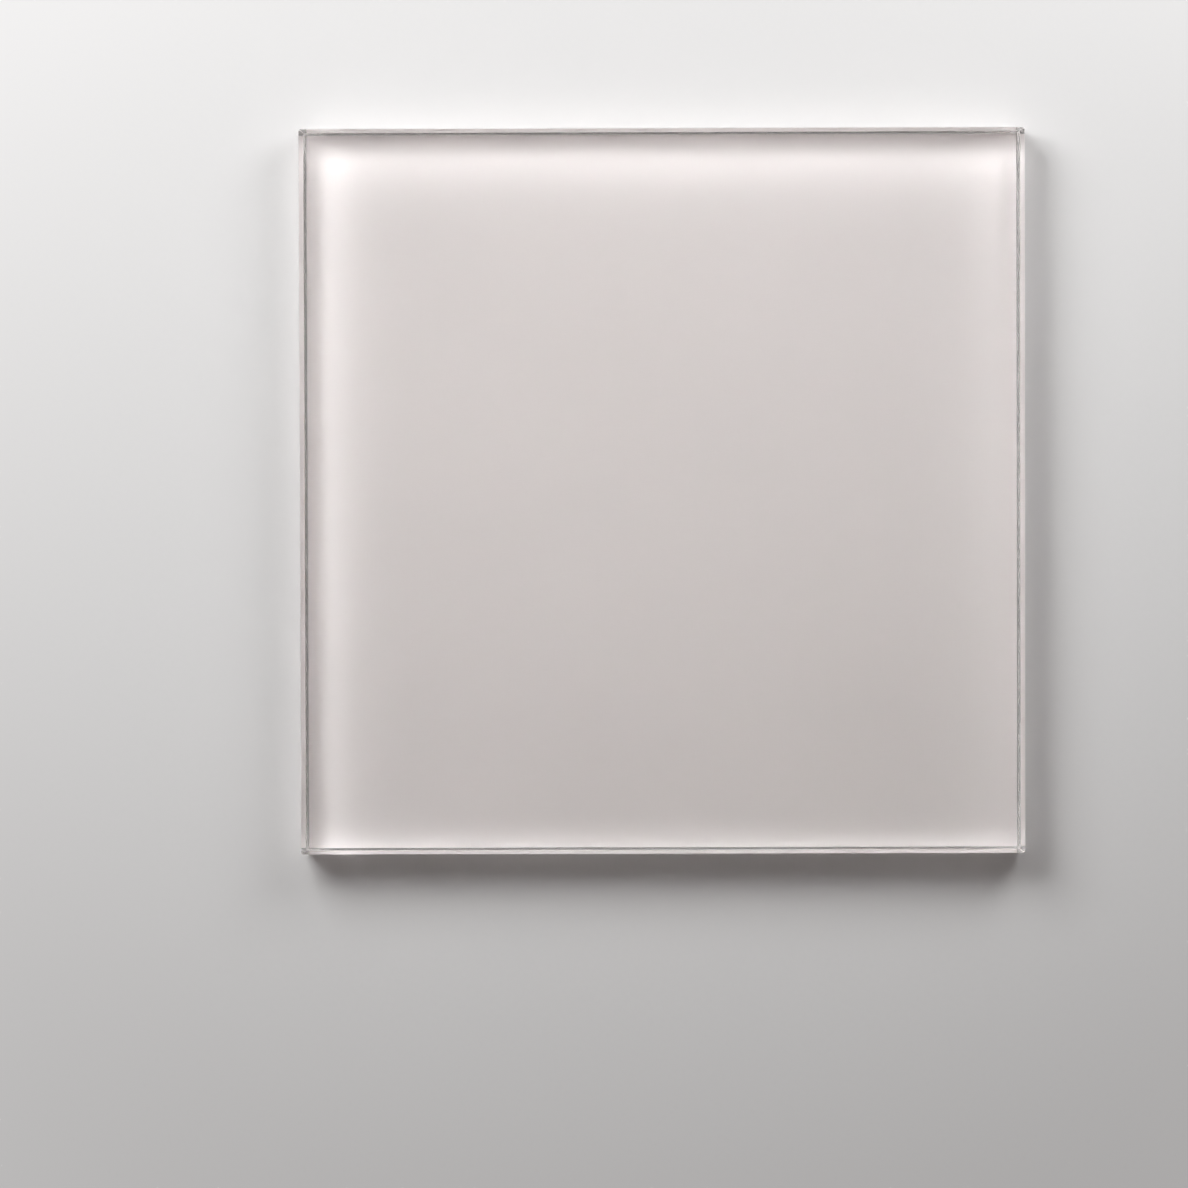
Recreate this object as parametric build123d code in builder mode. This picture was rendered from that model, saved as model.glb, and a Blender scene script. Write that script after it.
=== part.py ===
from build123d import *
import os

# A square of clear float glass painted on its back, in millimetres.
# It lies on its painted back: X is the width, Y the length and Z the thickness,
# with the origin at the middle of the painted back.

# Glass
panel_width = 100.0
panel_length = 100.0
glass_thickness = 6.0

# Worked edge: the edges are ground flat and polished, both faces carry an arris
# at 45 degrees and the four upright corners are dubbed. The left and right sides
# are ground a little heavier than the lower and upper ends.
side_front_arris = 0.7
side_back_arris = 0.85
end_front_arris = 0.55
end_back_arris = 0.6
corner_dub = 0.3

# Paint: one opaque coat, which ends a little inside the back arris
paint_thickness = 0.1
paint_margin = 0.05

# The paint is under the glass, so the glass starts at the paint's thickness
glass_back = Plane.XY.offset(paint_thickness)

with BuildPart() as glass_pane:
    with BuildSketch(glass_back):
        Rectangle(panel_width, panel_length)
    extrude(amount=glass_thickness)
    # The sides' arrises are ground first, then the ends', and they meet in a mitre
    chamfer(faces().sort_by(Axis.Z)[-1].edges().filter_by(Axis.Y), side_front_arris)
    chamfer(faces().sort_by(Axis.Z)[-1].edges().filter_by(Axis.X), end_front_arris)
    chamfer(faces().sort_by(Axis.Z)[0].edges().filter_by(Axis.Y), side_back_arris)
    chamfer(faces().sort_by(Axis.Z)[0].edges().filter_by(Axis.X), end_back_arris)
    # The dub is ground last, so it cuts across the mitres of the arrises
    with BuildSketch(glass_back):
        Rectangle(panel_width, panel_length)
        chamfer(vertices(), corner_dub)
    extrude(amount=glass_thickness, mode=Mode.INTERSECT)

# What the back arris leaves of the glass's back face is the ground for the paint
painted_face = glass_pane.faces().sort_by(Axis.Z)[0]

with BuildPart() as paint_coat:
    with BuildSketch(Plane.XY):
        add(painted_face.moved(Location((0, 0, -paint_thickness))))
        offset(amount=-paint_margin, kind=Kind.INTERSECTION)
    extrude(amount=paint_thickness)

glass_pane.part.label = "glass_pane"
paint_coat.part.label = "paint_coat"

os.makedirs("parts", exist_ok=True)
export_step(glass_pane.part, "parts/glass_pane.step")
export_step(paint_coat.part, "parts/paint_coat.step")
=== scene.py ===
import math

import bpy
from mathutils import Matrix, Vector, noise


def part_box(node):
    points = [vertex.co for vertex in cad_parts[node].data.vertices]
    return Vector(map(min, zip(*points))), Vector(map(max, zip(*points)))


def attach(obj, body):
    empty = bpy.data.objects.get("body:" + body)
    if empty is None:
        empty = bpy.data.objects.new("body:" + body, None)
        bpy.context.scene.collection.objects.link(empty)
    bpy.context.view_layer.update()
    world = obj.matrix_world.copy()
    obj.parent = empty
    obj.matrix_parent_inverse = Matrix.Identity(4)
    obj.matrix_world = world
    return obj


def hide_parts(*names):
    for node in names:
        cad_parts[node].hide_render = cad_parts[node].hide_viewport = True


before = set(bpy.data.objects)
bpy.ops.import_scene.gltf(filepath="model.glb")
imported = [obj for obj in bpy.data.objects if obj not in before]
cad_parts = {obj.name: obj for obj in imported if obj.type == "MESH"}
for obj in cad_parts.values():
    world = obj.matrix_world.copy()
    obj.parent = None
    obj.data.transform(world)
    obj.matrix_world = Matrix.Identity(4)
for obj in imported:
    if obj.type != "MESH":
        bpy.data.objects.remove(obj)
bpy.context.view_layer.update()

paneLow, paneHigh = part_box("glass_pane")
coatLow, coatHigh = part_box("paint_coat")
hair = 1e-6         # metres, for telling places apart
levelFacing = 0.99  # a face looks straight up or down when its normal's Z is past this
sharpLine = 25      # degrees, from which a line between two faces is softened
print("painted glass panel: frame loaded")


# small helpers for working as by hand


def deselectAll():
    if bpy.context.object and bpy.context.object.mode != "OBJECT":
        bpy.ops.object.mode_set(mode="OBJECT")
    bpy.ops.object.select_all(action="DESELECT")


def selectOnly(block):
    deselectAll()
    block.select_set(True)
    bpy.context.view_layer.objects.active = block


def addBlock(name, low, high):
    deselectAll()
    bpy.ops.mesh.primitive_cube_add(size=1, location=(low + high) / 2)
    block = bpy.context.object
    block.name = name
    block.data.name = name
    block.scale = high - low
    bpy.ops.object.transform_apply(location=True, rotation=True, scale=True)
    return block


def cutAcross(count, low, high):
    # evenly spaced cuts across X and Y, so that the rim has points to stray at
    for axis in (0, 1):
        for step in range(1, count):
            place = Vector((0, 0, 0))
            place[axis] = low[axis] + (high[axis] - low[axis]) * step / count
            turn = Vector((0, 0, 0))
            turn[axis] = 1
            bpy.ops.mesh.select_all(action="SELECT")
            bpy.ops.mesh.bisect(plane_co=place, plane_no=turn)


def wander(point, length, course):
    # a smooth number from about -1 to 1 that changes over that length
    return noise.noise(Vector((point.x / length, point.y / length, course)))


def finishBlock(block, softening):
    # takes the sharpness off every line, with the flat faces left flat
    selectOnly(block)
    bpy.ops.object.shade_smooth()
    bevel = block.modifiers.new("softening", "BEVEL")
    bevel.width = softening
    bevel.segments = 2
    bevel.limit_method = "ANGLE"
    bevel.angle_limit = math.radians(sharpLine)
    bevel.harden_normals = True
    bevel.use_clamp_overlap = True
    bpy.ops.object.modifier_apply(modifier=bevel.name)


# the pane: float glass with ground and polished edges

paneSet = {
    "cornerDub": 0.0002,     # how far the upright corners are dubbed
    "rimCuts": 40,           # how many stretches a rim is divided into
    "rimZone": 0.001,        # the lines of the worked edge all lie within this distance of the sides
    "stray": 0.000002,       # how far a line strays on its way along the wheel
    "strayLength": 0.03,     # the length over which it strays
    "strayCourse": 3,        # another number gives another course
    "softening": 0.00004,    # the round that the polish leaves on a line
}


def arrisOf(node, level, axis):
    # how far the CAD node's face at that height is set in from its side
    reach = max(v.co[axis] for v in node.data.vertices if abs(v.co.z - level) < hair)
    return paneHigh[axis] - reach


def grindOff(place, facing):
    # cuts away all that lies beyond a plane and leaves a flat there
    bpy.ops.mesh.select_all(action="SELECT")
    bpy.ops.mesh.bisect(plane_co=place, plane_no=facing, use_fill=True, clear_outer=True)


def makePane():
    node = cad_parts["glass_pane"]
    pane = addBlock("pane", paneLow, paneHigh)
    bpy.ops.object.mode_set(mode="EDIT")
    for level, up in ((paneHigh.z, 1), (paneLow.z, -1)):
        for axis in (0, 1):
            arris = arrisOf(node, level, axis)
            print("pane: arris of", round(arris * 1000, 3), "mm")
            for side in (-1, 1):
                place = Vector((0, 0, level))
                place[axis] = side * (paneHigh[axis] - arris)
                facing = Vector((0, 0, up))
                facing[axis] = side
                grindOff(place, facing)
    for sideX in (-1, 1):
        for sideY in (-1, 1):
            corner = Vector((sideX * paneHigh.x, sideY * (paneHigh.y - paneSet["cornerDub"]), 0))
            grindOff(corner, (sideX, sideY, 0))
    cutAcross(paneSet["rimCuts"], paneLow, paneHigh)
    bpy.ops.mesh.select_all(action="SELECT")
    bpy.ops.mesh.remove_doubles(threshold=hair)
    bpy.ops.mesh.normals_make_consistent(inside=False)
    bpy.ops.object.mode_set(mode="OBJECT")

    # the wheels leave no line dead straight: each one strays a hair inwards
    for vertex in pane.data.vertices:
        spot = vertex.co.copy()
        for axis in (0, 1):
            if paneHigh[axis] - abs(spot[axis]) < paneSet["rimZone"]:
                course = paneSet["strayCourse"] + axis + spot.z / paneSet["strayLength"]
                move = paneSet["stray"] * wander(spot, paneSet["strayLength"], course)
                vertex.co[axis] -= math.copysign(1, spot[axis]) * abs(move)
    finishBlock(pane, paneSet["softening"])
    print("pane: made")
    return pane


# the coat of paint on the pane's back

coatSet = {
    "wetIn": 0.00002,        # how far its face lies inside the glass, as paint wets glass with no air between
    "rimCuts": 64,
    "stray": 0.000012,       # how ragged the masked rim is
    "strayLength": 0.004,
    "strayCourse": 20,
    "inward": 1.6,           # the rim goes in by this share of a ragged course, less a share for going out
    "outward": 0.4,
    "softening": 0.00003,
}


def makeCoat():
    coat = addBlock("coat", coatLow, coatHigh + Vector((0, 0, coatSet["wetIn"])))
    bpy.ops.object.mode_set(mode="EDIT")
    cutAcross(coatSet["rimCuts"], coatLow, coatHigh)
    bpy.ops.mesh.select_all(action="SELECT")
    bpy.ops.mesh.normals_make_consistent(inside=False)
    bpy.ops.object.mode_set(mode="OBJECT")
    for vertex in coat.data.vertices:
        spot = vertex.co.copy()
        for axis in (0, 1):
            if abs(spot[axis]) > coatHigh[axis] - hair:
                ragged = abs(wander(spot, coatSet["strayLength"], coatSet["strayCourse"] + axis))
                move = coatSet["stray"] * (ragged * coatSet["inward"] - coatSet["outward"])
                vertex.co[axis] -= math.copysign(1, spot[axis]) * move
    finishBlock(coat, coatSet["softening"])
    print("coat: made")
    return coat


# shader groups, used by more than one material


def newGroup(name, inputs, outputs):
    # inputs are given as label, kind and default value, outputs as label and kind
    group = bpy.data.node_groups.new(name, "ShaderNodeTree")
    for label, kind, value in inputs:
        socket = group.interface.new_socket(label, in_out="INPUT", socket_type=kind)
        socket.default_value = value
    for label, kind in outputs:
        group.interface.new_socket(label, in_out="OUTPUT", socket_type=kind)
    entry = group.nodes.new("NodeGroupInput")
    leave = group.nodes.new("NodeGroupOutput")
    return group, entry, leave


def addNode(tree, kind, **values):
    node = tree.nodes.new(kind)
    for key, value in values.items():
        setattr(node, key, value)
    return node


def addMath(tree, operation, a, b=None, clamp=False):
    node = addNode(tree, "ShaderNodeMath", operation=operation, use_clamp=clamp)
    for index, value in enumerate((a, b)):
        if value is None:
            continue
        if isinstance(value, (int, float)):
            node.inputs[index].default_value = value
        else:
            tree.links.new(value, node.inputs[index])
    return node.outputs[0]


def mixColours(tree, mask, first, second):
    # a Mix node takes its two colours at inputs 6 and 7 and gives the mix at output 2
    mix = addNode(tree, "ShaderNodeMix", data_type="RGBA")
    mix.inputs[6].default_value = first
    mix.inputs[7].default_value = second
    tree.links.new(mask, mix.inputs[0])
    return mix.outputs[2]


def mixSurfaces(tree, mask, first, second, end):
    shown = addNode(tree, "ShaderNodeMixShader")
    for index, value in enumerate((mask, first, second)):
        tree.links.new(value, shown.inputs[index])
    tree.links.new(shown.outputs[0], tree.nodes[end].inputs["Surface"])


def makeMottle():
    # soft cloudy variation, from 0 to 1, on the object's own coordinates
    group, entry, leave = newGroup(
        "mottle",
        [
            ("Scale", "NodeSocketFloat", 40.0),
            ("Detail", "NodeSocketFloat", 3.0),
            ("Contrast", "NodeSocketFloat", 1.0),
        ],
        [("Mask", "NodeSocketFloat")],
    )
    place = addNode(group, "ShaderNodeTexCoord")
    cloud = addNode(group, "ShaderNodeTexNoise")
    group.links.new(place.outputs["Object"], cloud.inputs["Vector"])
    group.links.new(entry.outputs["Scale"], cloud.inputs["Scale"])
    group.links.new(entry.outputs["Detail"], cloud.inputs["Detail"])
    centred = addMath(group, "SUBTRACT", cloud.outputs["Fac"], 0.5)
    spread = addMath(group, "MULTIPLY", centred, entry.outputs["Contrast"])
    lifted = addMath(group, "ADD", spread, 0.5, clamp=True)
    group.links.new(lifted, leave.inputs["Mask"])
    return group


def useGroup(tree, group, **values):
    node = addNode(tree, "ShaderNodeGroup", node_tree=group)
    for key, value in values.items():
        node.inputs[key].default_value = value
    return node


def newMaterial(name):
    material = bpy.data.materials.new(name)
    material.use_nodes = True
    tree = material.node_tree
    return material, tree, tree.nodes["Principled BSDF"]


# glass: clear faces, with the wheel's lines on the arrises and edges

glassSet = {
    "tint": (1.0, 0.999, 0.996, 1),
    "ior": 1.525,
    "edgeRoughness": 0.36,
    "arrisRoughness": 0.07,
    "edgeTilt": 0.35,        # an edge's normal has less Z than this, and an arris's has more
    "lineSpacing": 0.00022,  # metres from one line of the polishing wheel to the next
    "lineStretch": 0.002,    # how slowly the lines change along the edge, against how fast they do across it
    "lineDepth": 0.0000012,
    "lineDetail": 4.0,
}


def startGlass(name):
    material, tree, shader = newMaterial(name)
    shader.inputs["Base Color"].default_value = glassSet["tint"]
    shader.inputs["IOR"].default_value = glassSet["ior"]
    shader.inputs["Transmission Weight"].default_value = 1.0
    shader.inputs["Roughness"].default_value = 0
    return material, tree, shader


def makeWorkedGlass():
    material, tree, shader = startGlass("workedGlass")
    # which surface is this: an edge looks sideways, an arris between that and up or down
    surface = addNode(tree, "ShaderNodeNewGeometry")
    parts = addNode(tree, "ShaderNodeSeparateXYZ")
    tree.links.new(surface.outputs["Normal"], parts.inputs[0])
    up = addMath(tree, "ABSOLUTE", parts.outputs["Z"])
    flatEdge = addMath(tree, "LESS_THAN", up, glassSet["edgeTilt"])
    arris = addMath(tree, "SUBTRACT", 1, flatEdge)
    edgeShare = addMath(tree, "MULTIPLY", flatEdge, glassSet["edgeRoughness"])
    arrisShare = addMath(tree, "MULTIPLY", arris, glassSet["arrisRoughness"])
    rough = addMath(tree, "ADD", edgeShare, arrisShare)
    tree.links.new(rough, shader.inputs["Roughness"])

    # the wheel's lines run along each edge: along Y where the surface faces X, along X where it faces Y
    place = addNode(tree, "ShaderNodeTexCoord")
    spot = addNode(tree, "ShaderNodeSeparateXYZ")
    tree.links.new(place.outputs["Object"], spot.inputs[0])
    sideways = addMath(tree, "ABSOLUTE", parts.outputs["X"])
    endways = addMath(tree, "ABSOLUTE", parts.outputs["Y"])
    facesX = addMath(tree, "GREATER_THAN", sideways, endways)
    along = addNode(tree, "ShaderNodeMix", data_type="FLOAT")
    tree.links.new(facesX, along.inputs[0])
    tree.links.new(spot.outputs["X"], along.inputs[2])
    tree.links.new(spot.outputs["Y"], along.inputs[3])
    fineness = 1 / glassSet["lineSpacing"]
    slowness = glassSet["lineStretch"] / glassSet["lineSpacing"]
    across = addMath(tree, "MULTIPLY", spot.outputs["Z"], fineness)
    lengthways = addMath(tree, "MULTIPLY", along.outputs[0], slowness)
    stretched = addNode(tree, "ShaderNodeCombineXYZ")
    tree.links.new(across, stretched.inputs[0])
    tree.links.new(lengthways, stretched.inputs[1])
    tree.links.new(facesX, stretched.inputs[2])
    lines = addNode(tree, "ShaderNodeTexNoise")
    lines.inputs["Scale"].default_value = 1.0
    lines.inputs["Detail"].default_value = glassSet["lineDetail"]
    tree.links.new(stretched.outputs[0], lines.inputs["Vector"])
    relief = addNode(tree, "ShaderNodeBump")
    relief.inputs["Distance"].default_value = glassSet["lineDepth"]
    relief.inputs["Strength"].default_value = 1.0
    tree.links.new(lines.outputs["Fac"], relief.inputs["Height"])
    tree.links.new(relief.outputs[0], shader.inputs["Normal"])
    print("glass: material made")
    return material


# paint: seen through the glass on one side, bare on the other

paintSet = {
    "colour": (0.806, 0.774, 0.768),
    "cloudiness": 0.012,      # how much its colour varies
    "cloudScale": 35.0,
    "backCloudiness": 0.024,
    "backCloudScale": 60.0,
    "peelSize": 0.0014,       # metres from one bump of the orange peel to the next
    "peelDepth": 0.000009,
    "backRoughness": 0.38,
    "backRoughnessSpread": 0.12,
    "sheenScale": 150.0,
}


def tintedColour(tree, mask, spread):
    darker = [c * (1 - spread) for c in paintSet["colour"]] + [1]
    lighter = [min(1, c * (1 + spread)) for c in paintSet["colour"]] + [1]
    return mixColours(tree, mask, darker, lighter)


def makePaintUnderGlass(mottle):
    # no shine of its own, because the glass that it wets takes that away
    material, tree, shader = newMaterial("paintUnderGlass")
    shader.inputs["Roughness"].default_value = 1.0
    shader.inputs["Specular IOR Level"].default_value = 0.0
    cloud = useGroup(tree, mottle, Scale=paintSet["cloudScale"], Detail=2.0, Contrast=1.6)
    tinted = tintedColour(tree, cloud.outputs[0], paintSet["cloudiness"])
    tree.links.new(tinted, shader.inputs["Base Color"])
    return material


def makePaintBack(mottle):
    material, tree, shader = newMaterial("paintBack")
    cloud = useGroup(tree, mottle, Scale=paintSet["backCloudScale"], Detail=5.0, Contrast=1.8)
    tinted = tintedColour(tree, cloud.outputs[0], paintSet["backCloudiness"])
    tree.links.new(tinted, shader.inputs["Base Color"])
    sheen = useGroup(tree, mottle, Scale=paintSet["sheenScale"], Detail=3.0, Contrast=2.0)
    lift = addMath(tree, "MULTIPLY", sheen.outputs[0], paintSet["backRoughnessSpread"])
    tree.links.new(addMath(tree, "ADD", lift, paintSet["backRoughness"]), shader.inputs["Roughness"])
    peel = useGroup(tree, mottle, Scale=1 / paintSet["peelSize"], Detail=2.0, Contrast=1.5)
    relief = addNode(tree, "ShaderNodeBump")
    relief.inputs["Distance"].default_value = paintSet["peelDepth"]
    tree.links.new(peel.outputs[0], relief.inputs["Height"])
    tree.links.new(relief.outputs[0], shader.inputs["Normal"])
    print("paint: materials made")
    return material


# floor, lamps and camera

stageSet = {
    "floorSize": 6.0,
    "floorDrop": 0.00002,    # just under the painted back
    "floorColour": (0.6, 0.6, 0.6, 1),
    "floorBounce": (0.08, 0.08, 0.08, 1),
    "floorRoughness": 0.9,
    "backdropLight": 0.7,    # what the camera sees beyond the lit floor
    "backdropColour": (1, 1, 1, 1),
    "backdropFrom": 0.1,     # metres from the middle, from where the floor goes over into it, and to where
    "backdropTo": 0.26,
    "wallColour": (1.0, 0.86, 0.82, 1),
    "horizonLight": 0.115,   # low, because the worked edges show the horizon through the whole pane
    "zenithLight": 0.12,
    "climbFrom": 0.1,        # from and to this height the one goes over into the other
    "climbTo": 0.9,
    "glowFrom": (-0.55, 0.5, 0.67),
    "glowLight": 1.2,
    "glowReach": 40,         # degrees from its middle to where it ends
}

lampSet = {  # place and size in metres, power in watts
    "leftBox": {"place": (-0.211, 0.211, 0.251), "size": (0.24, 0.24), "power": 1.78},
    "rightBox": {"place": (0.144, 0.16, 0.146), "size": (0.13, 0.13), "power": 0.365},
}

cameraSet = {
    "lens": 150,  # millimetres, long enough for the worked edge to show the studio beyond the pane
    "place": (-0.006, 0.000466, 0.688214),
    "turn": (-1.2238, 0.2866, -0.1581),  # degrees
    "nearest": 0.01,
}


def makeFloor():
    deselectAll()
    bpy.ops.mesh.primitive_plane_add(size=stageSet["floorSize"], location=(0, 0, -stageSet["floorDrop"]))
    floor = bpy.context.object
    floor.name = "floor"
    bpy.ops.object.transform_apply(location=True, rotation=True, scale=True)
    material, tree, shader = newMaterial("floorPaper")
    # pale to the camera, also through the glass, but dark to the light that would bounce up into the edges
    path = addNode(tree, "ShaderNodeLightPath")
    bounced = addMath(tree, "GREATER_THAN", path.outputs["Diffuse Depth"], 0.5)
    paper = mixColours(tree, bounced, stageSet["floorColour"], stageSet["floorBounce"])
    tree.links.new(paper, shader.inputs["Base Color"])
    shader.inputs["Roughness"].default_value = stageSet["floorRoughness"]
    shader.inputs["Specular IOR Level"].default_value = 0
    # beyond the lamps' reach the camera sees the backdrop, which lights nothing
    place = addNode(tree, "ShaderNodeTexCoord")
    away = addNode(tree, "ShaderNodeVectorMath", operation="LENGTH")
    tree.links.new(place.outputs["Object"], away.inputs[0])
    beyond = addNode(tree, "ShaderNodeMapRange", interpolation_type="SMOOTHSTEP")
    beyond.inputs["From Min"].default_value = stageSet["backdropFrom"]
    beyond.inputs["From Max"].default_value = stageSet["backdropTo"]
    tree.links.new(away.outputs["Value"], beyond.inputs["Value"])
    backdrop = addNode(tree, "ShaderNodeEmission")
    backdrop.inputs["Color"].default_value = stageSet["backdropColour"]
    backdrop.inputs["Strength"].default_value = stageSet["backdropLight"]
    seen = addMath(tree, "MULTIPLY", beyond.outputs["Result"], path.outputs["Is Camera Ray"])
    mixSurfaces(tree, seen, shader.outputs[0], backdrop.outputs[0], "Material Output")
    material.cycles.emission_sampling = "NONE"
    floor.data.materials.append(material)


def makeWorld():
    world = bpy.data.worlds.new("studio")
    bpy.context.scene.world = world
    world.cycles.sampling_method = "NONE"  # it is even and weak
    world.use_nodes = True
    tree = world.node_tree
    back = tree.nodes["Background"]
    back.inputs["Color"].default_value = stageSet["wallColour"]
    # a dim studio, a touch lighter overhead than around
    heading = addNode(tree, "ShaderNodeTexCoord")
    parts = addNode(tree, "ShaderNodeSeparateXYZ")
    tree.links.new(heading.outputs["Generated"], parts.inputs[0])
    climb = addNode(tree, "ShaderNodeMapRange", interpolation_type="SMOOTHSTEP")
    climb.inputs["From Min"].default_value = stageSet["climbFrom"]
    climb.inputs["From Max"].default_value = stageSet["climbTo"]
    climb.inputs["To Min"].default_value = stageSet["horizonLight"]
    climb.inputs["To Max"].default_value = stageSet["zenithLight"]
    tree.links.new(parts.outputs["Z"], climb.inputs["Value"])
    # what the glass mirrors is a soft glow, and not the lamps' hard outlines
    nearness = addNode(tree, "ShaderNodeVectorMath", operation="DOT_PRODUCT")
    tree.links.new(heading.outputs["Generated"], nearness.inputs[0])
    nearness.inputs[1].default_value = Vector(stageSet["glowFrom"]).normalized()
    glow = addNode(tree, "ShaderNodeMapRange", interpolation_type="SMOOTHSTEP")
    glow.inputs["From Min"].default_value = math.cos(math.radians(stageSet["glowReach"]))
    glow.inputs["To Max"].default_value = stageSet["glowLight"]
    tree.links.new(nearness.outputs["Value"], glow.inputs["Value"])
    path = addNode(tree, "ShaderNodeLightPath")
    # a ray that passes through the glass counts as glossy too
    glossy, passing = path.outputs["Is Glossy Ray"], path.outputs["Is Transmission Ray"]
    mirrors = addMath(tree, "SUBTRACT", glossy, passing, clamp=True)
    mirrored = addMath(tree, "MULTIPLY", glow.outputs["Result"], mirrors)
    tree.links.new(addMath(tree, "ADD", climb.outputs["Result"], mirrored), back.inputs["Strength"])
    # the camera alone sees the same pale backdrop as at the floor's far end
    backdrop = addNode(tree, "ShaderNodeBackground")
    backdrop.inputs["Color"].default_value = stageSet["backdropColour"]
    backdrop.inputs["Strength"].default_value = stageSet["backdropLight"]
    mixSurfaces(tree, path.outputs["Is Camera Ray"], back.outputs[0], backdrop.outputs[0], "World Output")


def makeLamps():
    for name, values in lampSet.items():
        data = bpy.data.lights.new(name, "AREA")
        data.shape = "RECTANGLE"
        data.size, data.size_y = values["size"]
        data.energy = values["power"]
        lamp = bpy.data.objects.new(name, data)
        bpy.context.scene.collection.objects.link(lamp)
        lamp.location = values["place"]
        lamp.rotation_euler = (-Vector(values["place"])).to_track_quat("-Z", "Y").to_euler()
        lamp.visible_camera = False
        lamp.visible_glossy = False  # the glow in the world stands in for it there


def makeCamera():
    data = bpy.data.cameras.new("camera")
    data.lens = cameraSet["lens"]
    data.clip_start = cameraSet["nearest"]
    camera = bpy.data.objects.new("camera", data)
    bpy.context.scene.collection.objects.link(camera)
    camera.location = cameraSet["place"]
    camera.rotation_euler = [math.radians(a) for a in cameraSet["turn"]]
    bpy.context.scene.camera = camera


pane = makePane()
coat = makeCoat()
mottle = makeMottle()

pane.data.materials.append(startGlass("clearGlass")[0])
pane.data.materials.append(makeWorkedGlass())
for face in pane.data.polygons:
    face.material_index = 0 if abs(face.normal.z) > levelFacing else 1
coat.data.materials.append(makePaintUnderGlass(mottle))
coat.data.materials.append(makePaintBack(mottle))
for face in coat.data.polygons:
    face.material_index = 0 if face.center.z > coatHigh.z else 1

for piece, node, slot in ((pane, "glass_pane", "clear_glass"), (coat, "paint_coat", "back_paint")):
    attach(piece, "root")
    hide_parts(node)

makeFloor()
makeWorld()
makeLamps()
makeCamera()

scene = bpy.context.scene
scene.view_settings.view_transform = "Standard"
scene.cycles.max_bounces = 14  # light goes to and fro many times between the glass's faces
scene.cycles.diffuse_bounces = 5
scene.cycles.glossy_bounces = 10
scene.cycles.transmission_bounces = 10
scene.cycles.blur_glossy = 0  # or the light that the edges throw on the paint would be blurred away
print("stage: floor, lamps and camera made")
